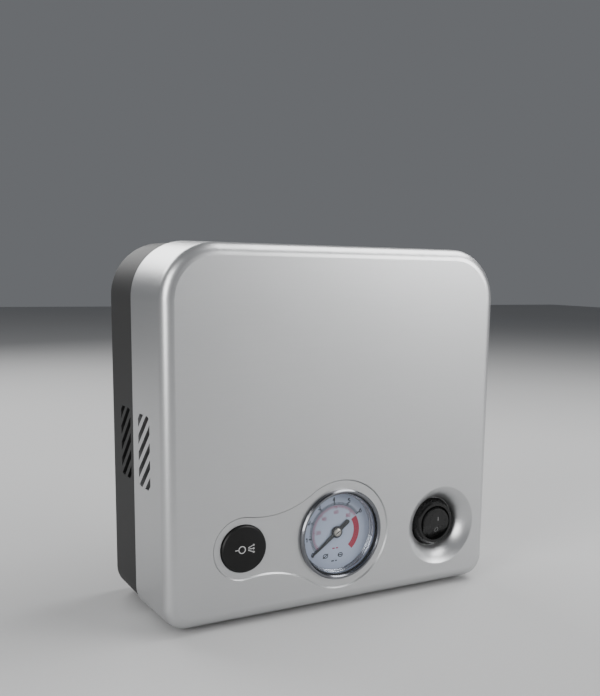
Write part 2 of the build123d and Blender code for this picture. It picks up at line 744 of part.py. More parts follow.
with BuildPart() as cable_grommet:
    round_bar(grommet_x, grommet_z, bay_front - tray_wall, bay_front, grommet_radius)
    round_bar(grommet_x, grommet_z, bay_front, bay_front + 3, grommet_radius + 1.4)
    round_bar(grommet_x, grommet_z, bay_front - tray_wall - 1.5, bay_front - tray_wall, grommet_radius + 0.8)
    round_bar(grommet_x, grommet_z, bay_front - tray_wall - 2, bay_front + 4, cable_radius, CUT)
save("cable_grommet", cable_grommet)

# ---------------------------------------------------------------- switch
dish_seat = front_y + dish_depth
bezel_front = dish_seat - switch_bezel
pivot_y = bezel_front + rocker_pivot
well = rocker_radius + rocker_gap
well_end = pivot_y + rocker_radius + 0.4
body_end = dish_seat + switch_body_length
with BuildPart() as switch_body:
    turned(
        [(0, bezel_front), (switch_rim_radius - 0.6, bezel_front),
         (switch_rim_radius, bezel_front + 0.6), (switch_bezel_radius, dish_seat),
         (switch_body_radius, dish_seat), (switch_body_radius, body_end), (0, body_end)],
        dish_x, dish_z,
    )
    round_bar(dish_x, dish_z, bezel_front, well_end, well, CUT)
    cross_bar(dish_x - well - 1.1, dish_x + well + 1.1, pivot_y, dish_z, 1.2 + pivot_gap, CUT)
save("switch_body", switch_body)

with BuildPart() as switch_rocker:
    with Locations((dish_x, pivot_y, dish_z)):
        Sphere(rocker_radius)
    half = rocker_radius + 1
    drop = half * tan(radians(rocker_tilt))
    with BuildSketch(at_x(dish_x, pivot_y, dish_z)):
        with BuildLine() as rocker_line:
            front = drop - rocker_ridge
            Polyline((front, half), (-rocker_ridge, 0), (front, -half), (3.2, -half), (5.6, 0), (3.2, half),
                     close=True)
        make_face(rocker_line.line)
    extrude(amount=2 * rocker_radius, both=True, mode=Mode.INTERSECT)
    cross_bar(dish_x - well - 0.9, dish_x + well + 0.9, pivot_y, dish_z, 1.2)
switch_rocker.part = switch_rocker.part.rotate(Axis((dish_x, pivot_y, dish_z), (1, 0, 0)), rocker_tilt)
save("switch_rocker", switch_rocker)

with BuildPart() as switch_terminals:
    for x in (dish_x - 4, dish_x + 4):
        block((x - 2.4, x + 2.4), (body_end, body_end + 7), (dish_z - 0.4, dish_z + 0.4))
save("switch_terminals", switch_terminals)

# ---------------------------------------------------------------- motor
motor_left = plate_left - motor_length
cap_left = motor_left - end_cap_length
can_inner = motor_radius - motor_wall
bush_radius = 3.6
with BuildPart() as motor_can:
    cross_bar(motor_left, plate_left, compressor_y, motor_z, motor_radius)
    cross_bar(motor_left, plate_left - motor_wall, compressor_y, motor_z, can_inner, CUT)
    cross_bar(motor_left, plate_left, compressor_y, motor_z, bush_radius, CUT)
    for side in (-1, 1):
        cross_bar(motor_left + 5, plate_left, compressor_y + side * 12.5, motor_z, 1.3, CUT)
save("motor_can", motor_can)

with BuildPart() as motor_end_cap:
    cross_bar(cap_left, motor_left, compressor_y, motor_z, motor_radius)
    fillet(motor_end_cap.faces().sort_by(Axis.X)[0].edges(), 1.5)
    cross_bar(cap_left + 2, motor_left, compressor_y, motor_z, can_inner - 1, CUT)
    cross_bar(cap_left, cap_left + 3, compressor_y, motor_z, bush_radius + 1.5)
    cross_bar(cap_left, cap_left + 3, compressor_y, motor_z, bush_radius, CUT)
    for angle in range(45, 360, 90):
        vent_y = compressor_y + 10.5 * cos(radians(angle))
        vent_z = motor_z + 10.5 * sin(radians(angle))
        cross_bar(cap_left - 1, cap_left + 4, vent_y, vent_z, 2.4, CUT)
save("motor_end_cap", motor_end_cap)

with BuildPart() as motor_bushings:
    for left, right in ((cap_left, cap_left + 3), (plate_left - motor_wall - 1, plate_left)):
        cross_bar(left, right, compressor_y, motor_z, bush_radius)
    cross_bar(cap_left, plate_left, compressor_y, motor_z, motor_shaft_radius + pivot_gap, CUT)
save("motor_bushings", motor_bushings)

magnet_inner = 13.4
with BuildPart() as motor_magnets:
    with BuildSketch(at_x(motor_left + 8, compressor_y, motor_z)):
        Circle(can_inner)
        Circle(magnet_inner, mode=CUT)
        for side in (-1, 1):
            with Locations((side * 10, 0)):
                Rectangle(8, 40, mode=CUT)
    extrude(amount=34)
save("motor_magnets", motor_magnets)

with BuildPart() as armature_core:
    with BuildSketch(at_x(motor_left + 12, compressor_y, motor_z)):
        Circle(12.8)
        Circle(motor_shaft_radius, mode=CUT)
        with PolarLocations(11.2, 5):
            Rectangle(5, 1.4, mode=CUT)
        with PolarLocations(8.0, 5):
            Circle(2.2, mode=CUT)
    extrude(amount=26)
save("armature_core", armature_core)

with BuildPart() as armature_windings:
    for left, right in ((motor_left + 8.5, motor_left + 12), (motor_left + 38, motor_left + 41.5)):
        cross_bar(left, right, compressor_y, motor_z, 11.0)
        cross_bar(left, right, compressor_y, motor_z, motor_shaft_radius, CUT)
    rims = armature_windings.edges().filter_by(GeomType.CIRCLE).filter_by(lambda edge: edge.radius > 10)
    fillet(rims, 1.4)
save("armature_windings", armature_windings)

commutator_radius = 5.0
with BuildPart() as commutator:
    cross_bar(motor_left + 0.5, motor_left + 8, compressor_y, motor_z, commutator_radius)
    cross_bar(motor_left + 0.5, motor_left + 8, compressor_y, motor_z, motor_shaft_radius, CUT)
save("commutator", commutator)

with BuildPart() as motor_brushes:
    for side in (-1, 1):
        z = sorted((motor_z + side * (commutator_radius + pivot_gap), motor_z + side * 11))
        block((motor_left + 2, motor_left + 6.5), (compressor_y - 2, compressor_y + 2), z)
    brush_end = commutator_radius + pivot_gap
    cross_bar(motor_left, motor_left + 8, compressor_y, motor_z, brush_end, CUT)
save("motor_brushes", motor_brushes)

fan_left = cap_left - 2.0 - fan_width
pinion_left, gear_right = plate_right + 0.8, plate_right + 0.8 + gear_width
with BuildPart() as motor_shaft:
    cross_bar(fan_left - 0.5, gear_right + 1, compressor_y, motor_z, motor_shaft_radius)
save("motor_shaft", motor_shaft)

with BuildPart() as motor_pinion:
    with BuildSketch(at_x(pinion_left, compressor_y, motor_z)):
        add(gear_face(pinion_teeth, gear_module, first_angle=90))
        Circle(motor_shaft_radius, mode=CUT)
    extrude(amount=gear_width)
save("motor_pinion", motor_pinion)

with BuildPart() as cooling_fan:
    cross_bar(fan_left, fan_left + fan_width, compressor_y, motor_z, 5.0)
    for n in range(fan_blades):
        turn = 2 * pi * n / fan_blades
        hub = (fan_left + fan_width / 2, compressor_y, motor_z)
        with BuildSketch(Plane(origin=hub, x_dir=(1, 0, 0), z_dir=(0, cos(turn), sin(turn)))):
            Rectangle(1.0, 9.0, rotation=42)
        extrude(amount=fan_radius)
    fan_right = fan_left + fan_width
    cross_bar(fan_left - 1, fan_right + 1, compressor_y, motor_z, motor_shaft_radius, CUT)
    block((fan_left - 9, fan_left), span(compressor_y, 20), span(motor_z, 20), CUT)
save("cooling_fan", cooling_fan)

# ---------------------------------------------------------------- gear frame, crank and cylinder
bearing_radius = 6.2
bore_radius = piston_radius + piston_fit
barrel_outer = bore_radius + cylinder_wall
deck_right = cylinder_x + head_half
head_square = (span(cylinder_x, head_half), span(compressor_y, head_half))
head_places = [(cylinder_x + sx * 14, compressor_y + sy * 14) for sx in (-1, 1) for sy in (-1, 1)]
with BuildPart() as gear_frame:
    block((plate_left, plate_right), (compressor_y - 14, compressor_y + 14), (63.2, deck_z + deck_thickness))
    cross_bar(plate_left, plate_right, compressor_y, motor_z, motor_radius)
    cross_bar(plate_left - 4, plate_right, compressor_y, crank_z, 8.0)
    block((plate_left, deck_right), (compressor_y - head_half, compressor_y + head_half),
          (deck_z, deck_z + deck_thickness))
    block((deck_right - 4, mount_ears[2][0]), (ear_front, ear_back), (deck_z, deck_z + deck_thickness))
    for x, z in mount_ears:
        round_bar(x, z, ear_front, ear_back, ear_radius)
    for x, z in mount_ears:
        round_bar(x, z, ear_front, ear_back, 2.9, CUT)
        round_bar(x, z, compressor_y - head_half, ear_front, ear_radius, CUT)
    cross_bar(plate_left, plate_right, compressor_y, motor_z, bush_radius + 1, CUT)
    cross_bar(plate_left - 5, plate_right, compressor_y, crank_z, bearing_radius, CUT)
    for side in (-1, 1):
        cross_bar(plate_left, plate_right, compressor_y + side * 12.5, motor_z, 1.5, CUT)
    upright(cylinder_x, compressor_y, deck_z, deck_z + deck_thickness, barrel_outer + 0.05, CUT)
    for x, y in head_places:
        upright(x, y, deck_z, deck_z + deck_thickness, 1.3, CUT)
save("gear_frame", gear_frame)

with BuildPart() as motor_screws:
    places = [(plate_right, compressor_y + side * 12.5, motor_z) for side in (-1, 1)]
    planes = [Plane(origin=place, z_dir=(-1, 0, 0)) for place in places]
    add(screws(planes, 1.3, 8, 2.2, 1.6).part)
save("motor_screws", motor_screws)

with BuildPart() as mount_bushings:
    for x, z in mount_ears:
        round_bar(x, z, ear_front - 1, ear_back, 2.9)
        round_bar(x, z, ear_front - 1, ear_front, 4.4)
        round_bar(x, z, ear_front - 1, ear_back, screw_radius, CUT)
save("mount_bushings", mount_bushings)

with BuildPart() as case_screws:
    planes = [Plane(origin=(x, parting_y + screw_seat, z), z_dir=(0, -1, 0)) for x, z in case_bosses]
    planes += [Plane(origin=(x, ear_front - 1, z), z_dir=(0, 1, 0)) for x, z in mount_ears]
    add(screws(planes, screw_radius, screw_length, screw_head_radius, screw_head).part)
save("case_screws", case_screws)

with BuildPart() as crank_bearing:
    cross_bar(plate_left - 4, plate_right, compressor_y, crank_z, bearing_radius)
    bore = crank_shaft_radius + pivot_gap
    cross_bar(plate_left - 4, plate_right, compressor_y, crank_z, bore, CUT)
save("crank_bearing", crank_bearing)

web_right = cylinder_x - rod_thickness / 2 - 3.8
with BuildPart() as crank_shaft:
    cross_bar(plate_left - 5, web_right, compressor_y, crank_z, crank_shaft_radius)
    cross_bar(plate_left - 6.2, plate_left - 4.8, compressor_y, crank_z, crank_shaft_radius + 1)
save("crank_shaft", crank_shaft)

with BuildPart() as crank_gear:
    with BuildSketch(at_x(pinion_left, compressor_y, crank_z)):
        add(gear_face(gear_teeth, gear_module, first_angle=270 + 180 / gear_teeth))
        Circle(crank_shaft_radius, mode=CUT)
        with PolarLocations(13, 6):
            Circle(3.6, mode=CUT)
    extrude(amount=gear_width)
save("crank_gear", crank_gear)

with BuildPart() as crank_web:
    with BuildSketch(at_x(gear_right, compressor_y, crank_z)):
        Circle(11.8)
        with Locations((0, 9.5)):
            Rectangle(30, 12, mode=CUT)
        with Locations((0, crank_throw / 2)):
            SlotCenterToCenter(crank_throw, 9.6, rotation=90)
        Circle(crank_shaft_radius, mode=CUT)
    extrude(amount=web_right - gear_right)
save("crank_web", crank_web)

rod_left, rod_right = cylinder_x - rod_thickness / 2, cylinder_x + rod_thickness / 2
crank_pin_z = crank_z + crank_throw
with BuildPart() as crank_pin:
    cross_bar(web_right + 0.3, rod_right + 0.8, compressor_y, crank_pin_z, crank_pin_radius)
    cross_bar(rod_right + 0.5, rod_right + 1.5, compressor_y, crank_pin_z, crank_pin_radius + 1)
save("crank_pin", crank_pin)

pin_radius = 2.0
with BuildPart() as connecting_rod:
    with BuildSketch(at_x(rod_left, compressor_y, crank_pin_z)):
        Circle(6.2)
        with Locations((0, rod_length)):
            Circle(4.2)
        with BuildLine() as shank:
            Polyline((-4, 0), (4, 0), (2.6, rod_length), (-2.6, rod_length), close=True)
        make_face(shank.line)
    extrude(amount=rod_thickness)
    for side in (rod_left, rod_right - 1.6):
        with BuildSketch(at_x(side, compressor_y, crank_pin_z)):
            with Locations((0, rod_length / 2 + 1)):
                SlotCenterToCenter(rod_length - 15, 3.0, rotation=90)
        extrude(amount=1.6, mode=CUT)
    cross_bar(rod_left, rod_right, compressor_y, crank_pin_z, crank_pin_radius, CUT)
    cross_bar(rod_left, rod_right, compressor_y, wrist_z, pin_radius + pivot_gap, CUT)
save("connecting_rod", connecting_rod)

crown_z = wrist_z + crown_height
with BuildPart() as piston:
    hollow = (crown_z - piston_length, crown_z - crown_thickness)
    upright(cylinder_x, compressor_y, crown_z - piston_length, crown_z, piston_radius)
    upright(cylinder_x, compressor_y, *hollow, piston_radius - 1.8, CUT)
    cross_bar(*span(cylinder_x, piston_radius - 1), compressor_y, wrist_z, pin_radius + 1.6)
    block((rod_left - 0.5, rod_right + 0.5), span(compressor_y, 6), hollow, CUT)
    cross_bar(*span(cylinder_x, piston_radius), compressor_y, wrist_z, pin_radius, CUT)
    with BuildSketch(Plane.XY.offset(crown_z - 2.2)):
        with Locations((cylinder_x, compressor_y)):
            Circle(piston_radius + 1)
            Circle(piston_radius - 1.1, mode=CUT)
    extrude(amount=1.2, mode=CUT)
    upright(cylinder_x + 4, compressor_y, crown_z - 4, crown_z, 1.2, CUT)
save("piston", piston)

with BuildPart() as piston_ring:
    upright(cylinder_x, compressor_y, crown_z - 2.2, crown_z - 1.0, piston_radius + 0.03)
    upright(cylinder_x, compressor_y, crown_z - 2.2, crown_z - 1.0, piston_radius - 1.1, CUT)
save("piston_ring", piston_ring)

with BuildPart() as wrist_pin:
    cross_bar(*span(cylinder_x, piston_radius - 0.8), compressor_y, wrist_z, pin_radius)
save("wrist_pin", wrist_pin)

barrel_low = crank_z + 13.0
with BuildPart() as cylinder:
    upright(cylinder_x, compressor_y, barrel_low, cylinder_top, barrel_outer)
    deck_top = deck_z + deck_thickness
    upright(cylinder_x, compressor_y, deck_top, deck_top + 2.4, head_half)
    block(*head_square, (cylinder_top - 3, cylinder_top))
    for z in (deck_top + 4.4, deck_top + 6.9):
        upright(cylinder_x, compressor_y, z, z + 1, head_half - 0.5)
    for x, y in head_places:
        upright(x, y, deck_top, cylinder_top, 1.7, CUT)
    upright(cylinder_x, compressor_y, barrel_low, cylinder_top, bore_radius, CUT)
save("cylinder", cylinder)

with BuildPart() as valve_plate_part:
    block(*head_square, (cylinder_top, head_z))
    upright(cylinder_x, compressor_y, cylinder_top, head_z, outlet_hole, CUT)
    for x, y in head_places:
        upright(x, y, cylinder_top, head_z, 1.7, CUT)
save("valve_plate", valve_plate_part)

head_top = head_z + head_height
chamber_top = head_z + 4.6
with BuildPart() as cylinder_head:
    block(*head_square, (head_z, head_top))
    fillet(cylinder_head.edges().filter_by(Axis.Z), 3)
    for y in (-12, -6, 0, 6, 12):
        block(span(cylinder_x, 9), span(compressor_y + y, 1), (head_top - 1.4, head_top), CUT)
    upright(cylinder_x, compressor_y, head_z, chamber_top, outlet_disc_radius + 1, CUT)
    cross_bar(cylinder_x, deck_right, compressor_y, head_z + 2.4, 1.6, CUT)
    for x, y in head_places:
        upright(x, y, head_z, head_top, 1.7, CUT)
save("cylinder_head", cylinder_head)

with BuildPart() as head_screws:
    planes = [Plane(origin=(x, y, head_top), z_dir=(0, 0, -1)) for x, y in head_places]
    add(screws(planes, 1.3, head_top - deck_z - 0.2, 2.6, 1.6).part)
save("head_screws", head_screws)

with BuildPart() as outlet_disc:
    upright(cylinder_x, compressor_y, head_z, head_z + 1.2, outlet_disc_radius)
save("outlet_disc", outlet_disc)

disc_top = Plane(origin=(cylinder_x, compressor_y, head_z + 1.2))
outlet_spring = coil_spring(disc_top, 2.4, 0.45, chamber_top - head_z - 1.2, 3)
save("outlet_spring", outlet_spring)

# ---------------------------------------------------------------- air pipe and wires
pipe_x, pipe_z = 46.0, head_z + head_height / 2
air_pipe = tube_along(
    [(deck_right, compressor_y, pipe_z), (pipe_x, compressor_y, pipe_z), (pipe_x, compressor_y, control_z),
     (manifold_right - 4, compressor_y, control_z)], 7.0, tube_radius - 0.6, tube_bore - 0.2)
save("air_pipe", air_pipe)

with BuildPart() as pipe_nuts:
    with BuildSketch(at_x(deck_right, compressor_y, pipe_z)):
        RegularPolygon(3.2, 6)
        Circle(tube_radius - 0.6, mode=CUT)
    extrude(amount=3)
    cross_bar(manifold_right - 5, manifold_right, compressor_y, control_z, tube_radius)
    with BuildSketch(at_x(manifold_right, compressor_y, control_z)):
        RegularPolygon(4.6, 6)
    extrude(amount=3)
    pipe_outer = tube_radius - 0.6
    cross_bar(manifold_right - 4, manifold_right + 3, compressor_y, control_z, pipe_outer, CUT)
    cross_bar(manifold_right - 5, manifold_right + 3, compressor_y, control_z, tube_bore, CUT)
save("pipe_nuts", pipe_nuts)

wire_start = bay_front - tray_wall - 1.8
wire_y = wire_start - 2.6
terminal_end = body_end + 7
supply_wire = tube_along(
    [(grommet_x + 1.2, wire_start, grommet_z), (grommet_x + 1.2, wire_y, grommet_z),
     (grommet_x + 1.2, wire_y, 20), (dish_x - 4, wire_y, 20), (dish_x - 4, wire_y, dish_z),
     (dish_x - 4, terminal_end, dish_z)], 2.0, wire_radius)
wire_run_y = compressor_y - 7.5
wire_run_z = bay_high + tray_wall + 2.0
switch_wire = tube_along(
    [(dish_x + 4, terminal_end, dish_z), (dish_x + 4, terminal_end + 2.2, dish_z),
     (dish_x + 4, terminal_end + 2.2, wire_run_z), (dish_x + 4, wire_run_y, wire_run_z),
     (motor_left - 3, wire_run_y, wire_run_z), (motor_left - 3, wire_run_y, motor_z - motor_radius + 1.1)],
    2.0, wire_radius)
return_y = wire_y - 2.4
return_wire = tube_along(
    [(grommet_x - 1.2, wire_start, grommet_z), (grommet_x - 1.2, return_y, grommet_z),
     (-70, return_y, grommet_z), (-70, return_y, 61), (motor_left - 3, return_y, 61),
     (motor_left - 3, return_y, motor_z - motor_radius - 0.1)], 1.9, wire_radius)
with BuildPart() as wires:
    add(supply_wire.part)
    add(switch_wire.part)
    add(return_wire.part)
save("wires", wires)
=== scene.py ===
"""Looks of the portable tyre inflator: camera, light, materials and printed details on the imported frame."""
import json
import math

import bpy
import numpy as np
from mathutils import Matrix, Vector


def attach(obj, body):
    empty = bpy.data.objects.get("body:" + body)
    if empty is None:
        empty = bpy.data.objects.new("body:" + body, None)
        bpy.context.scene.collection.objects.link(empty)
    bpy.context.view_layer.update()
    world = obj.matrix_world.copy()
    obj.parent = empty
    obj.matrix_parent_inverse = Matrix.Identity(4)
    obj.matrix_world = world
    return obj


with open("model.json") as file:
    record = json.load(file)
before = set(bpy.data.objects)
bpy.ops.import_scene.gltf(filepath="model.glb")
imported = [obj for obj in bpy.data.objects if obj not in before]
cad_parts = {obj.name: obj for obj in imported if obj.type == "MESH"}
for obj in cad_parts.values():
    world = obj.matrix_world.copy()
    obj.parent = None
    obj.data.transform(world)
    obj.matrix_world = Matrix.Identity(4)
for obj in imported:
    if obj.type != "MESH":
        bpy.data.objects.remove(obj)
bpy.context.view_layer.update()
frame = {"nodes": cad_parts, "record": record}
MM = 0.001

# ---------------------------------------------------------------- places shared with the CAD model, in mm
FRONT = -34.25
CONTROL_Z = 34.6
GAUGE_X = -0.6
DIAL_Y = FRONT + 4.4
POINTER_Y = DIAL_Y - 1.0
BUTTON_X = -48.4
BUTTON_Y = FRONT - 0.9
DISH_X, DISH_Z = 55.5, 31.4
DISH_DEPTH = 8.4
SWITCH_BEZEL = 3.9
ROCKER_PIVOT = 3.0
ROCKER_Y = FRONT + DISH_DEPTH - SWITCH_BEZEL + ROCKER_PIVOT
ROCKER_RIDGE = 3.9
ROCKER_TILT = 12.0
# how far a print stands off its face
INK_LIFT = 0.03


# ---------------------------------------------------------------- camera
# The frame is 600 by 696 units; the focal length and the point that the axis meets are in the same unit.
IMAGE_WIDTH, IMAGE_HEIGHT = 600.0, 696.0
FOCAL = 902.355
AXIS_ACROSS, AXIS_DOWN = 348.712, 416.874
SENSOR = 36.0
CAMERA_PLACE = (-201.152, -373.014, 152.505)
HEADING, FALL, ROLL = 30.984, 9.261, 1.092


def aim_camera():
    """Sets the camera by its place, its heading, its fall and its roll, with a small shift."""
    heading, fall, roll = (math.radians(angle) for angle in (HEADING, FALL, ROLL))
    level_run = math.cos(fall)
    forward = Vector((math.sin(heading) * level_run, math.cos(heading) * level_run, -math.sin(fall)))
    level = Vector((math.cos(heading), -math.sin(heading), 0.0))
    upward = level.cross(forward)
    right = level * math.cos(roll) + upward * math.sin(roll)
    up = upward * math.cos(roll) - level * math.sin(roll)
    data = bpy.data.cameras.new("camera")
    data.sensor_width = SENSOR
    data.lens = FOCAL * SENSOR / IMAGE_HEIGHT
    data.shift_x = (IMAGE_WIDTH / 2 - AXIS_ACROSS) / IMAGE_HEIGHT
    data.shift_y = (AXIS_DOWN - IMAGE_HEIGHT / 2) / IMAGE_HEIGHT
    data.clip_start = 0.01
    camera = bpy.data.objects.new("camera", data)
    turn = Matrix((right, up, -forward)).transposed().to_4x4()
    camera.matrix_world = Matrix.Translation(Vector(CAMERA_PLACE) * MM) @ turn
    bpy.context.scene.collection.objects.link(camera)
    bpy.context.scene.camera = camera


aim_camera()


# ---------------------------------------------------------------- shader graphs
class Value:
    """A socket that can be used in sums: arithmetic on it adds Math nodes."""

    def __init__(self, graph, socket):
        self.graph, self.socket = graph, socket

    def _math(self, operation, *terms, clamp=False):
        return self.graph.node("ShaderNodeMath", {"operation": operation, "use_clamp": clamp}, *terms)

    def __add__(self, other):
        return self._math("ADD", self, other)

    def __radd__(self, other):
        return self._math("ADD", other, self)

    def __sub__(self, other):
        return self._math("SUBTRACT", self, other)

    def __mul__(self, other):
        return self._math("MULTIPLY", self, other)

    def __rmul__(self, other):
        return self._math("MULTIPLY", other, self)

    def __truediv__(self, other):
        return self._math("DIVIDE", self, other)

    def __pow__(self, other):
        return self._math("POWER", self, other)

    def sin(self):
        return self._math("SINE", self)

    def sqrt(self):
        return self._math("SQRT", self)

    def clamp(self):
        return self._math("ADD", self, 0.0, clamp=True)

    def step(self, start, end):
        """0 below start, 1 above end, smooth between."""
        settings = {"interpolation_type": "SMOOTHSTEP"}
        return self.graph.node("ShaderNodeMapRange", settings, self, start, end, 0.0, 1.0)


class Graph:
    """One material's node tree."""

    def __init__(self, name):
        self.material = bpy.data.materials.new(name)
        self.material.use_nodes = True
        self.tree = self.material.node_tree
        self.tree.nodes.clear()
        self.end = self.tree.nodes.new("ShaderNodeOutputMaterial")
        self.place = self.node("ShaderNodeTexCoord", {}, out="Object")

    def node(self, kind, settings, *inputs, out=0, **named):
        """Adds a node: its settings first, then its inputs by order or by name."""
        node = self.tree.nodes.new(kind)
        for key, value in settings.items():
            setattr(node, key, value)
        spaced = ((word.replace("_", " "), value) for word, value in named.items())
        for key, value in [*enumerate(inputs), *spaced]:
            self.feed(node.inputs[key], value)
        return Value(self, node.outputs[out])

    def feed(self, socket, value):
        """Joins a value to an input, or sets the input to a plain number or colour."""
        if isinstance(value, Value):
            self.tree.links.new(value.socket, socket)
        else:
            socket.default_value = value

    def axes(self):
        """The object coordinates in mm as three values."""
        split = self.node("ShaderNodeSeparateXYZ", {}, self.place)
        return [Value(self, socket) * 1000.0 for socket in split.socket.node.outputs]

    def gauge_radius(self):
        """The distance from the gauge's middle line in mm: the root of x squared and z squared."""
        x, _, z = self.axes()
        return ((x - GAUGE_X) * (x - GAUGE_X) + (z - CONTROL_Z) * (z - CONTROL_Z)).sqrt()

    def stretch(self, x, y, z):
        """The object coordinates times a vector."""
        return self.node("ShaderNodeVectorMath", {"operation": "MULTIPLY"}, self.place, (x, y, z))

    def noise(self, scale, detail=2.0, roughness=0.5, place=None):
        """Fractal noise from 0 to 1; scale is cycles per metre."""
        return self.node("ShaderNodeTexNoise", {}, Vector=place or self.place, Scale=scale,
                         Detail=detail, Roughness=roughness)

    def cells(self, scale):
        """Voronoi distance; scale is cells per metre."""
        return self.node("ShaderNodeTexVoronoi", {"feature": "F1"}, Vector=self.place, Scale=scale)

    def mix(self, factor, low, high):
        """Blends two colours."""
        low, high = (c if isinstance(c, Value) else (*c, 1.0) for c in (low, high))
        node = self.tree.nodes.new("ShaderNodeMix")
        node.data_type = "RGBA"
        for index, value in ((0, factor), (6, low), (7, high)):
            self.feed(node.inputs[index], value)
        return Value(self, node.outputs[2])

    def bump(self, height, strength, distance):
        """Normals from a height from 0 to 1; distance in mm."""
        return self.node("ShaderNodeBump", {}, Strength=strength, Distance=distance * MM, Height=height)

    def surface(self, **inputs):
        """The principled shader, joined to the output."""
        shader = self.node("ShaderNodeBsdfPrincipled", {}, **inputs)
        self.tree.links.new(shader.socket, self.end.inputs[0])
        return self.material


def grey(level):
    """A neutral colour."""
    return (level, level, level)


# ---------------------------------------------------------------- materials
def silver_paint():
    """Satin silver paint: flakes, faint level brushing and a slight orange peel."""
    g = Graph("silver_paint")
    flakes = g.cells(5200.0)
    brushed = g.noise(260.0, 4.0, 0.6, g.stretch(0.12, 0.12, 9.0))
    cloud = g.noise(9.0, 2.0)
    tone = 0.30 + 0.35 * cloud + 0.25 * brushed + 0.22 * flakes
    colour = g.mix(tone.clamp(), (0.40, 0.405, 0.41), (0.56, 0.565, 0.57))
    rough = 0.27 + 0.06 * brushed + 0.05 * cloud + 0.06 * flakes
    peel = g.noise(420.0, 2.0)
    height = 0.6 * peel + 0.3 * brushed + 0.1 * flakes
    return g.surface(Base_Color=colour, Metallic=0.9, Roughness=rough, Normal=g.bump(height, 0.14, 0.08),
                     Coat_Weight=0.15, Coat_Roughness=0.25)


def spark_plastic(name, low, high, rough, grain=1900.0, gloss=0.5):
    """Moulded plastic with the fine pitted texture of a spark-eroded mould and faint wear."""
    g = Graph(name)
    pits = g.noise(grain, 3.0, 0.65)
    cloud = g.noise(22.0, 3.0)
    scuff = g.noise(70.0, 5.0, 0.7, g.stretch(1.0, 1.0, 6.0)).step(0.62, 0.78)
    colour = g.mix((0.25 * pits + 0.65 * cloud + 0.2 * scuff).clamp(), low, high)
    roughness = rough + 0.10 * pits + 0.08 * cloud - 0.06 * scuff
    return g.surface(Base_Color=colour, Roughness=roughness, Normal=g.bump(pits, 0.45, 0.06),
                     Specular_IOR_Level=gloss)


def gloss_plastic(name, low, high, rough, gloss=0.5):
    """Semi-gloss moulded plastic with finger marks."""
    g = Graph(name)
    marks = g.noise(95.0, 4.0, 0.65)
    fine = g.noise(1500.0, 2.0)
    colour = g.mix(marks, low, high)
    roughness = rough + 0.14 * marks.step(0.45, 0.7) + 0.05 * fine
    return g.surface(Base_Color=colour, Roughness=roughness, Normal=g.bump(fine, 0.10, 0.03),
                     Specular_IOR_Level=gloss)


def rubber(name, level):
    """Soft rubber with dust in its pores."""
    g = Graph(name)
    pores = g.noise(1300.0, 4.0, 0.7)
    dust = g.noise(60.0, 3.0).step(0.5, 0.8)
    colour = g.mix((0.3 * pores + 0.5 * dust).clamp(), grey(level), grey(level * 2.4 + 0.01))
    return g.surface(Base_Color=colour, Roughness=0.72 + 0.18 * pores, Normal=g.bump(pores, 0.5, 0.05))


def metal(name, low, high, rough, grain=(1.0, 1.0, 1.0), scale=900.0, metallic=1.0):
    """Bare or plated metal with machining grain and a little staining."""
    g = Graph(name)
    lines = g.noise(scale, 4.0, 0.6, g.stretch(*grain))
    stain = g.noise(45.0, 4.0, 0.6)
    colour = g.mix((0.45 * lines + 0.55 * stain).clamp(), low, high)
    roughness = rough + 0.16 * stain + 0.10 * lines
    return g.surface(Base_Color=colour, Metallic=metallic, Roughness=roughness,
                     Normal=g.bump(lines, 0.25, 0.03))


def dark_chrome():
    """Polished dark chrome with fine turning lines."""
    g = Graph("dark_chrome")
    lines = 0.5 + 0.5 * (g.gauge_radius() * 55.0).sin()
    smear = g.noise(80.0, 3.0)
    colour = g.mix(smear, (0.13, 0.135, 0.15), (0.24, 0.245, 0.26))
    roughness = 0.13 + 0.08 * smear + 0.03 * lines
    return g.surface(Base_Color=colour, Metallic=1.0, Roughness=roughness, Normal=g.bump(lines, 0.08, 0.01))


def dial_enamel():
    """Pale blue-white dial paint, with painted shade that darkens it towards its rim."""
    g = Graph("dial_enamel")
    grain = g.noise(900.0, 3.0)
    cloud = g.noise(60.0, 2.0)
    # painted shade: the colour darkens towards the dial's rim, standing in for the shade cast by the ring and
    # case around it
    shade = (g.gauge_radius() / 18.0).clamp() ** 4.0
    tone = (0.55 * shade + 0.2 * grain + 0.15 * cloud).clamp()
    colour = g.mix(tone, (0.52, 0.56, 0.66), (0.34, 0.37, 0.47))
    return g.surface(Base_Color=colour, Roughness=0.48 + 0.1 * grain, Normal=g.bump(grain, 0.1, 0.01))


def ink(name, colour, soft):
    """Screen-printed ink, slightly uneven."""
    g = Graph(name)
    patch = g.noise(1200.0, 3.0)
    return g.surface(Base_Color=g.mix(patch, colour, soft), Roughness=0.45 + 0.15 * patch)


def clear_lens():
    """Clear acrylic: mostly see-through, with a glossy face that shows more at a glance."""
    g = Graph("clear_lens_acrylic")
    fresnel = g.node("ShaderNodeFresnel", {}, IOR=1.45)
    haze = g.noise(130.0, 3.0)
    clear = g.node("ShaderNodeBsdfTransparent", {}, Color=(0.97, 0.985, 1.0, 1.0))
    polish = 0.03 + 0.03 * haze
    gloss = g.node("ShaderNodeBsdfAnisotropic", {}, Color=(1.0, 1.0, 1.0, 1.0), Roughness=polish)
    shader = g.node("ShaderNodeMixShader", {}, (0.010 * haze + 0.4 * fresnel).clamp(), clear, gloss)
    g.tree.links.new(shader.socket, g.end.inputs[0])
    return g.material


def floor_paper():
    """Pale studio paper."""
    g = Graph("floor_paper")
    fibre = g.noise(600.0, 4.0, 0.7)
    cloud = g.noise(3.0, 2.0)
    colour = g.mix((0.5 * fibre + 0.5 * cloud).clamp(), grey(0.42), grey(0.48))
    return g.surface(Base_Color=colour, Roughness=0.85, Normal=g.bump(fibre, 0.1, 0.05))


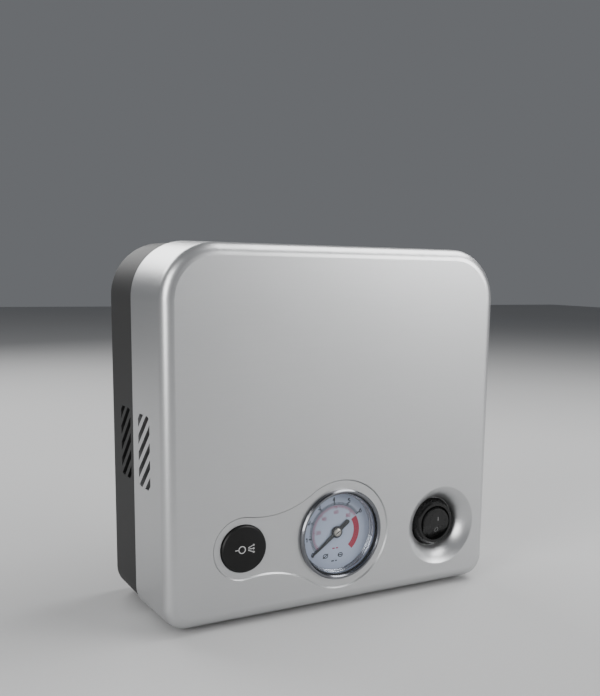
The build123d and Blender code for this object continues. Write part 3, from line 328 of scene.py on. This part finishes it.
silver = silver_paint()
black_shell = spark_plastic("black_shell_plastic", grey(0.010), grey(0.022), 0.5, gloss=0.3)
black_inner = spark_plastic("black_inner_plastic", grey(0.012), grey(0.022), 0.5)
grey_plastic = spark_plastic("grey_moulding", grey(0.16), grey(0.24), 0.45)
nylon = spark_plastic("natural_nylon", (0.62, 0.60, 0.52), (0.74, 0.72, 0.64), 0.38, 900.0)
ptfe = spark_plastic("filled_ptfe", (0.22, 0.13, 0.08), (0.33, 0.2, 0.13), 0.35)
carbon = spark_plastic("carbon_block", grey(0.02), grey(0.05), 0.5)
sheath = gloss_plastic("wire_sheath_pvc", (0.35, 0.015, 0.012), (0.5, 0.03, 0.02), 0.35)
button_black = gloss_plastic("button_black", grey(0.004), grey(0.009), 0.38, 0.22)
switch_black = gloss_plastic("switch_black", grey(0.004), grey(0.009), 0.22, 0.35)
foot_rubber = rubber("foot_rubber_black", 0.02)
seal_rubber = rubber("seal_rubber_black", 0.015)
chrome = dark_chrome()
enamel = dial_enamel()
lens = clear_lens()
brass = metal("turned_brass", (0.55, 0.38, 0.16), (0.80, 0.62, 0.32), 0.22)
copper = metal("copper_winding", (0.55, 0.22, 0.10), (0.80, 0.38, 0.20), 0.25, (0.2, 3.0, 3.0), 1500.0)
steel = metal("ground_steel", (0.42, 0.42, 0.43), (0.62, 0.62, 0.63), 0.22)
zinc = metal("zinc_plate_bright", (0.45, 0.46, 0.47), (0.66, 0.66, 0.64), 0.28, (0.1, 1.0, 1.0))
screw = metal("screw_zinc", (0.30, 0.30, 0.31), (0.50, 0.50, 0.50), 0.26)
cast = metal("die_cast_alloy", (0.42, 0.42, 0.43), (0.58, 0.58, 0.59), 0.42, scale=400.0)
machined = metal("machined_alloy_bright", (0.55, 0.55, 0.56), (0.74, 0.74, 0.75), 0.20, (0.2, 0.2, 4.0))
lamination = metal("armature_laminations", (0.12, 0.12, 0.13), (0.26, 0.26, 0.27), 0.35, (8.0, 0.2, 0.2),
                   1400.0)
magnet = metal("ferrite_magnet", (0.06, 0.06, 0.065), (0.11, 0.11, 0.115), 0.5, metallic=0.3)
black_paint = ink("pointer_paint", grey(0.008), grey(0.02))
black_ink = ink("dial_black_ink", grey(0.006), grey(0.015))
red_ink = ink("dial_red_ink", (0.34, 0.010, 0.035), (0.42, 0.018, 0.05))
scale_ink = ink("dial_scale_red_ink", (0.30, 0.02, 0.07), (0.40, 0.04, 0.10))
mark_ink = ink("mark_grey_ink", grey(0.36), grey(0.52))
faint_ink = ink("mark_dark_ink", grey(0.10), grey(0.17))
pale_brass = metal("pale_brass", (0.50, 0.44, 0.36), (0.74, 0.68, 0.60), 0.24)
chrome_ring = metal("chrome_ring", (0.30, 0.31, 0.34), (0.44, 0.45, 0.48), 0.08)

LOOKS = {
    "silver_shell": silver, "black_shell": black_shell, "black_gloss": switch_black,
    "black_plastic": black_inner, "grey_plastic": grey_plastic, "foot_rubber": foot_rubber,
    "seal_rubber": seal_rubber, "screw_steel": screw, "chrome_trim": chrome, "clear_lens": lens,
    "dial_white": enamel, "pointer_black": black_paint, "brass": brass, "steel": steel,
    "zinc_plate": zinc, "cast_alloy": cast, "machined_alloy": machined, "lamination": lamination,
    "magnet": magnet, "copper": copper, "carbon": carbon, "nylon": nylon, "ptfe": ptfe,
    "wire_sheath": sheath,
}
for part in frame["record"]["subparts"]:
    node = frame["nodes"][part["node"]]
    look = button_black if part["node"] == "deflate_button" else LOOKS[part["material_slot"]]
    for slot in node.material_slots:
        slot.material = look


# ---------------------------------------------------------------- pieces
def piece(name, points, faces, look, body, smooth=False):
    """A mesh from an array of points in mm and an array of faces, riding on a body."""
    mesh = bpy.data.meshes.new(name)
    mesh.from_pydata((np.asarray(points) * MM).tolist(), [], np.asarray(faces).tolist())
    mesh.validate()
    mesh.materials.append(look)
    if smooth:
        mesh.shade_smooth()
    else:
        mesh.shade_flat()
    made = bpy.data.objects.new(name, mesh)
    bpy.context.scene.collection.objects.link(made)
    if body:
        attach(made, body)
    return made


def grid_faces(rows, columns, start=0):
    """Quads of a grid of rows by columns points: each joins a point, the next row and the next column."""
    at = start + np.arange(rows * columns).reshape(rows, columns)
    return np.stack([at[:-1, :-1], at[1:, :-1], at[1:, 1:], at[:-1, 1:]], -1).reshape(-1, 4)


def strokes(paths, width):
    """Flat ribbons of a width along plane paths: each point is moved sideways by half the width, both ways.

    Returns plane points and faces of all the ribbons together."""
    points, faces, start = [], [], 0
    for path in paths:
        path = np.asarray(path, float)
        along = np.gradient(path, axis=0)
        along /= np.linalg.norm(along, axis=1, keepdims=True)
        side = np.stack([-along[:, 1], along[:, 0]], -1) * width / 2
        points.append(np.stack([path + side, path - side], 1).reshape(-1, 2))
        faces.append(grid_faces(len(path), 2, start))
        start += 2 * len(path)
    return np.concatenate(points), np.concatenate(faces)


def on_front(plane, x, y, z):
    """Plane points placed on a vertical plane at depth y, about (x, z), facing the front."""
    return np.stack([plane[:, 0] + x, np.full(len(plane), y), plane[:, 1] + z], -1)


def polar(radius, clock):
    """Plane points from radii and angles in degrees, clockwise from straight up: (r sin a, r cos a)."""
    angle = np.radians(clock)
    return np.stack([radius * np.sin(angle), radius * np.cos(angle)], -1)


def ellipse(cx, cy, rx, ry, start, end, count=13):
    """Points round part of an ellipse: its centre plus (rx cos a, ry sin a), angles in degrees."""
    angle = np.radians(np.linspace(start, end, count))
    return np.stack([cx + rx * np.cos(angle), cy + ry * np.sin(angle)], -1)


# stroke paths of the digits, each 1 high and about DIGIT_WIDTH wide
DIGIT_WIDTH, DIGIT_GAP = 0.6, 0.24
GLYPHS = {
    "0": [ellipse(0.3, 0.5, 0.3, 0.5, 0, 360, 21)],
    "1": [[(0.1, 0.78), (0.36, 1.0)], [(0.36, 1.0), (0.36, 0.5), (0.36, 0.0)]],
    "2": [np.concatenate([ellipse(0.3, 0.7, 0.3, 0.3, 165, -35, 11), [(0.02, 0.0)]]),
          [(0.0, 0.0), (0.6, 0.0)]],
    "3": [ellipse(0.28, 0.74, 0.28, 0.26, 150, -80, 12), ellipse(0.28, 0.26, 0.32, 0.28, 80, -150, 12)],
    "4": [[(0.44, 0.0), (0.44, 0.5), (0.44, 1.0)], [(0.44, 1.0), (0.0, 0.3)], [(0.0, 0.3), (0.62, 0.3)]],
    "5": [[(0.55, 1.0), (0.1, 1.0)], [(0.1, 1.0), (0.06, 0.55)],
          ellipse(0.27, 0.32, 0.31, 0.33, 130, -145, 13)],
    "6": [ellipse(0.3, 0.3, 0.29, 0.3, 0, 360, 19), [(0.46, 1.0), (0.15, 0.7), (0.03, 0.38)]],
    "8": [ellipse(0.3, 0.76, 0.24, 0.24, 0, 360, 17), ellipse(0.3, 0.27, 0.3, 0.28, 0, 360, 17)],
}


def number(text, centre, height):
    """Stroke paths of upright digits side by side, together about a centre."""
    pitch = DIGIT_WIDTH + DIGIT_GAP
    total = pitch * len(text) - DIGIT_GAP
    offset = np.asarray(centre) - np.array([total / 2, 0.5]) * height
    return [np.asarray(path) * height + offset + (pitch * height * place, 0)
            for place, digit in enumerate(text) for path in GLYPHS[digit]]


def ticks(inner, outer, angles):
    """Radial stroke paths from one radius to another, one at each angle."""
    return [np.stack([polar(inner, angle), polar(outer, angle)]) for angle in angles]


def arc(radius, start, end):
    """A stroke path round part of a circle, clockwise from straight up."""
    return polar(radius, np.linspace(start, end, 120))


def printed(name, groups, look, body, place):
    """One mesh of several groups of strokes, each with its own width; place puts plane points in space."""
    points, faces, start = [], [], 0
    for paths, width in groups:
        flat, quads = strokes(paths, width)
        points.append(flat)
        faces.append(quads + start)
        start += len(flat)
    return piece(name, place(np.concatenate(points)), np.concatenate(faces), look, body)


# the dial's scales: angles in degrees clockwise from straight up, the rest in mm
DIAL_ZERO = -128.5
BAR_STEP, BAR_TOP = 30.75, 6
PSI_STEP, PSI_TOP, PSI_NUMBERED = 2.12, 86, 20
BLACK_RING, RED_RING = 12.6, 12.1
BAND_INNER, BAND_OUTER = 9.3, 12.2
BAND_START, BAND_END = 58, 137


def dial_print():
    """The dial's two scales, its numbers, its red band and three small marks below the hub."""
    top = DIAL_ZERO + BAR_TOP * BAR_STEP

    def place(flat):
        return on_front(flat, GAUGE_X, DIAL_Y - INK_LIFT, CONTROL_Z)

    bars = DIAL_ZERO + BAR_STEP * np.arange(BAR_TOP + 1)
    tenths = DIAL_ZERO + BAR_STEP / 10 * np.arange(10 * BAR_TOP + 1)
    black = [(ticks(BLACK_RING, 14.3, bars), 0.6), (ticks(BLACK_RING, 13.8, tenths), 0.36),
             ([arc(BLACK_RING, DIAL_ZERO, top)], 0.22)]
    black += [(number(str(bar), polar(15.3, bars[bar]), 1.9), 0.45) for bar in range(BAR_TOP + 1)]
    black += [([ellipse(-5.4, -10.9, 1.2, 0.9, 0, 360, 17)], 0.45), ([[(-6.8, -11.9), (-4.0, -9.9)]], 0.45),
              ([ellipse(2.4, -11.2, 1.2, 0.9, 20, 340, 15)], 0.45), ([[(1.1, -11.2), (3.7, -11.2)]], 0.45),
              ([[(-2.4, -13.6), (-0.9, -13.6)], [(-0.3, -13.6), (0.6, -13.6)]], 0.6)]
    printed("dial_black_print", black, black_ink, "case", place)

    small = DIAL_ZERO + 2 * PSI_STEP * np.arange(PSI_TOP // 2 + 1)
    large = DIAL_ZERO + PSI_NUMBERED * PSI_STEP * np.arange(PSI_TOP // PSI_NUMBERED + 1)
    red = [([arc(RED_RING, DIAL_ZERO, top)], 0.25), (ticks(11.1, RED_RING, small), 0.3),
           (ticks(10.8, RED_RING, large), 0.5)]
    red += [(number(str(PSI_NUMBERED * step), polar(9.3, large[step]), 1.5), 0.28)
            for step in range(1, len(large))]
    red += [([[(-1.9, -7.7), (-0.6, -7.7)], [(-0.1, -7.7), (1.2, -7.7)]], 0.6)]
    printed("dial_red_print", red, scale_ink, "case", place)

    rows, columns = 60, 4
    angles, radii = np.linspace(BAND_START, BAND_END, rows), np.linspace(BAND_INNER, BAND_OUTER, columns)
    angle, radius = np.meshgrid(angles, radii, indexing="ij")
    band = polar(radius.ravel(), angle.ravel())
    piece("dial_red_band", place(band), grid_faces(rows, columns), red_ink, "case")


dial_print()


def turned(name, profile, front, look, body, count=64):
    """A surface turned about the gauge's middle line: x + r cos a, front - f, z + r sin a.

    The profile's points are (r, f): a radius and how far in front of a plane at depth front."""
    radius, ahead = np.asarray(profile, float).T
    angle = np.linspace(0, 2 * np.pi, count + 1)
    points = np.stack([
        GAUGE_X + np.outer(radius, np.cos(angle)),
        np.repeat((front - ahead)[:, None], count + 1, 1),
        CONTROL_Z + np.outer(radius, np.sin(angle)),
    ], -1).reshape(-1, 3)
    return piece(name, points, grid_faces(len(profile), count + 1), look, body, smooth=True)


# hub of the pointer: a black boss, and a pale screw whose slot is painted shade, a black strip on its face
HUB = [(0.05, 0.3), (2.4, 0.3), (2.7, 0.1), (2.75, -0.5), (0.7, -0.5)]
SCREW_HEAD = [(0.02, 0.85), (1.3, 0.82), (1.75, 0.65), (1.95, 0.3), (0.7, 0.28)]
SCREW_SLOT_SHADE = [(-1.1, -0.7), (0.0, 0.0), (1.1, 0.7)]
turned("pointer_hub", HUB, POINTER_Y, black_paint, "pointer")
turned("pointer_screw", SCREW_HEAD, POINTER_Y, pale_brass, "pointer")
# painted shade: a flat black ribbon just in front of the screw head stands in for the dark inside its slot
flat, quads = strokes([SCREW_SLOT_SHADE], 0.5)
piece("pointer_screw_slot_painted_shade", on_front(flat, GAUGE_X, POINTER_Y - 0.87, CONTROL_Z), quads, black_paint,
      "pointer")

# stepped bright ring between the dial and the lens
TRIM_RING = [(17.5, 0.05), (17.55, 0.35), (17.75, 0.6), (18.05, 0.65), (18.1, 1.3), (17.95, 1.5),
             (17.95, 1.75), (18.1, 1.95), (18.35, 2.0), (18.4, 2.8), (18.5, 3.55)]
turned("gauge_trim_ring", TRIM_RING, DIAL_Y, chrome_ring, "case", 96)


def button_mark():
    """A sign for air let out: a small ring with a tail and three rays that end in arrowheads."""
    barb, barb_turn = 0.8, 150
    rays = []
    for side in (-1, 0, 1):
        start, end = (1.6, side * 0.55), (4.6, side * 1.7)
        rays.append([start, end])
        slope = math.atan2(end[1] - start[1], end[0] - start[0])
        for turn in (barb_turn, -barb_turn):
            angle = slope + math.radians(turn)
            rays.append([end, (end[0] + barb * math.cos(angle), end[1] + barb * math.sin(angle))])
    ring, tail = ellipse(-1.2, 0, 1.5, 1.5, 0, 360, 33), [(-4.4, 0), (-2.7, 0)]
    groups = [([ring], 0.35), (rays, 0.32), ([tail], 0.32)]

    def place(flat):
        return on_front(flat, BUTTON_X, BUTTON_Y - INK_LIFT, CONTROL_Z)

    printed("deflate_mark", groups, mark_ink, "button", place)


button_mark()


def rocker_marks():
    """A line on the upper half of the rocker and a ring on the lower half, laid on its two sloping faces.

    Each face falls back from the ridge by the tangent of the tilt, and the rocker leans by the same tilt."""
    tilt = math.radians(ROCKER_TILT)

    def place(flat):
        up = flat[:, 1]
        ahead = -ROCKER_RIDGE + np.abs(up) * math.tan(tilt) - INK_LIFT
        y = ahead * math.cos(tilt) - up * math.sin(tilt)
        z = ahead * math.sin(tilt) + up * math.cos(tilt)
        return np.stack([DISH_X + flat[:, 0], ROCKER_Y + y, DISH_Z + z], -1)

    line, ring = [(0.9, 1.9), (0.9, 2.8), (0.9, 3.7)], ellipse(0.9, -2.9, 0.9, 1.2, 0, 360, 33)
    printed("rocker_marks", [([line], 0.5), ([ring], 0.35)], faint_ink, "rocker", place)


rocker_marks()

# ---------------------------------------------------------------- floor and light
FLOOR_HALF = 3000
FLOOR_CORNERS = [(-FLOOR_HALF, -FLOOR_HALF, 0), (FLOOR_HALF, -FLOOR_HALF, 0),
                 (FLOOR_HALF, FLOOR_HALF, 0), (-FLOOR_HALF, FLOOR_HALF, 0)]
floor = piece("floor", FLOOR_CORNERS, [(0, 1, 2, 3)], floor_paper(), None)


def area_light(name, place, target, size, power):
    """A soft rectangular light that faces a target; places and size in mm, power in watts."""
    data = bpy.data.lights.new(name, "AREA")
    data.shape = "RECTANGLE"
    data.size, data.size_y = (side * MM for side in size)
    data.energy = power
    light = bpy.data.objects.new(name, data)
    away = (Vector(target) - Vector(place)) * MM
    turn = away.to_track_quat("-Z", "Y").to_matrix().to_4x4()
    light.matrix_world = Matrix.Translation(Vector(place) * MM) @ turn
    bpy.context.scene.collection.objects.link(light)


area_light("front_right", (900, -950, 520), (40, -30, 130), (700, 620), 14.0)
area_light("left_side", (-900, -420, 420), (-80, 0, 110), (420, 760), 9.0)
area_light("top_right", (560, -60, 900), (0, 0, 120), (800, 620), 11.0)
area_light("back", (-250, 900, 700), (0, 0, 100), (900, 400), 9.0)

SKY_COLOUR, SKY_STRENGTH = (0.72, 0.75, 0.80, 1.0), 0.2
world = bpy.data.worlds.new("studio")
world.use_nodes = True
sky = world.node_tree.nodes["Background"]
sky.inputs[0].default_value = SKY_COLOUR
sky.inputs[1].default_value = SKY_STRENGTH
bpy.context.scene.world = world
